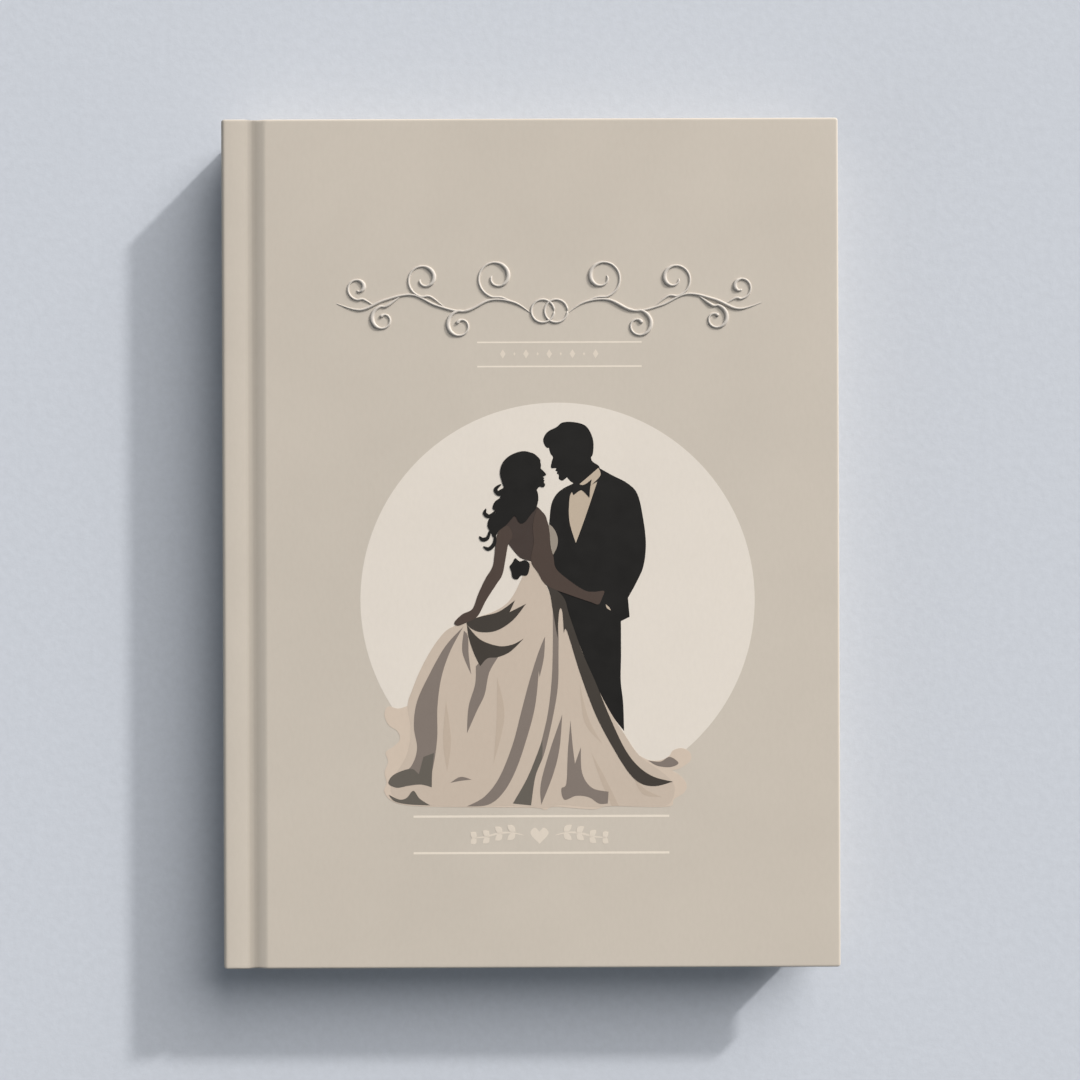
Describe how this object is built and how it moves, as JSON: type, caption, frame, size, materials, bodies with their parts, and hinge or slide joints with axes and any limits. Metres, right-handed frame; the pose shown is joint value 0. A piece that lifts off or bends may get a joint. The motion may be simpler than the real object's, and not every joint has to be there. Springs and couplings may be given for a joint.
{
  "type": "wedding guest book",
  "caption": "Case-bound portrait guest book with printed laminated covers, hinge grooves, endpapers and sewn page signatures; opens flat in the middle.",
  "frame": {"origin": "centre of the closed book's bottom face, on the surface it lies on", "axes": "+X from the spine to the fore edge, +Y from the tail to the head, +Z from the back cover up to the front cover"},
  "size_m": [0.157, 0.216, 0.016],
  "materials": {
    "printed_wrap": "matt laminated print",
    "greyboard": "raw grey board",
    "endpaper": "uncoated heavy paper",
    "book_paper": "uncoated cream paper",
    "gauze": "open woven cotton",
    "kraft_paper": "kraft",
    "band_cloth": "woven silk and cotton",
    "thread": "linen thread"
  },
  "bodies": {
    "back_cover": {"back_board": "greyboard", "back_cover_wrap": "printed_wrap", "back_pastedown": "endpaper"},
    "spine": {"spine_board": "greyboard", "spine_wrap": "printed_wrap"},
    "front_cover": {"front_board": "greyboard", "front_cover_wrap": "printed_wrap", "front_pastedown": "endpaper"},
    "rear_pages": {"back_flyleaf": "endpaper", "rear_signature_1": "book_paper", "rear_signature_2": "book_paper", "rear_signature_3": "book_paper", "rear_signature_4": "book_paper", "rear_mull": "gauze", "rear_kraft_lining": "kraft_paper", "rear_head_band": "band_cloth", "rear_tail_band": "band_cloth", "rear_sewing_thread": "thread"},
    "front_pages": {"front_flyleaf": "endpaper", "front_signature_1": "book_paper", "front_signature_2": "book_paper", "front_signature_3": "book_paper", "front_signature_4": "book_paper", "front_mull": "gauze", "front_kraft_lining": "kraft_paper", "front_head_band": "band_cloth", "front_tail_band": "band_cloth", "front_sewing_thread": "thread"}
  },
  "joints": [
    {"name": "spine_fold", "type": "hinge", "parent": "back_cover", "child": "spine", "pos_m": [-0.0773, 0, 0.0012], "axis": [0, -1, 0], "range_deg": [0, 90]},
    {"name": "front_cover_fold", "type": "hinge", "parent": "spine", "child": "front_cover", "pos_m": [-0.0773, 0, 0.0148], "axis": [0, -1, 0], "range_deg": [0, 90]},
    {"name": "text_block_link", "type": "hinge", "parent": "spine", "child": "rear_pages", "pos_m": [-0.0723, 0, 0.0062], "axis": [0, -1, 0], "range_deg": [-90, 0]},
    {"name": "middle_opening", "type": "hinge", "parent": "rear_pages", "child": "front_pages", "pos_m": [-0.07385, 0, 0.008], "axis": [0, -1, 0], "range_deg": [0, 179.8]}
  ],
  "couplings": [
    {"joint": "front_cover_fold", "follows": "spine_fold", "ratio": 1},
    {"joint": "text_block_link", "follows": "spine_fold", "ratio": -1},
    {"joint": "middle_opening", "follows": "spine_fold", "ratio": 1.9977}
  ]
}
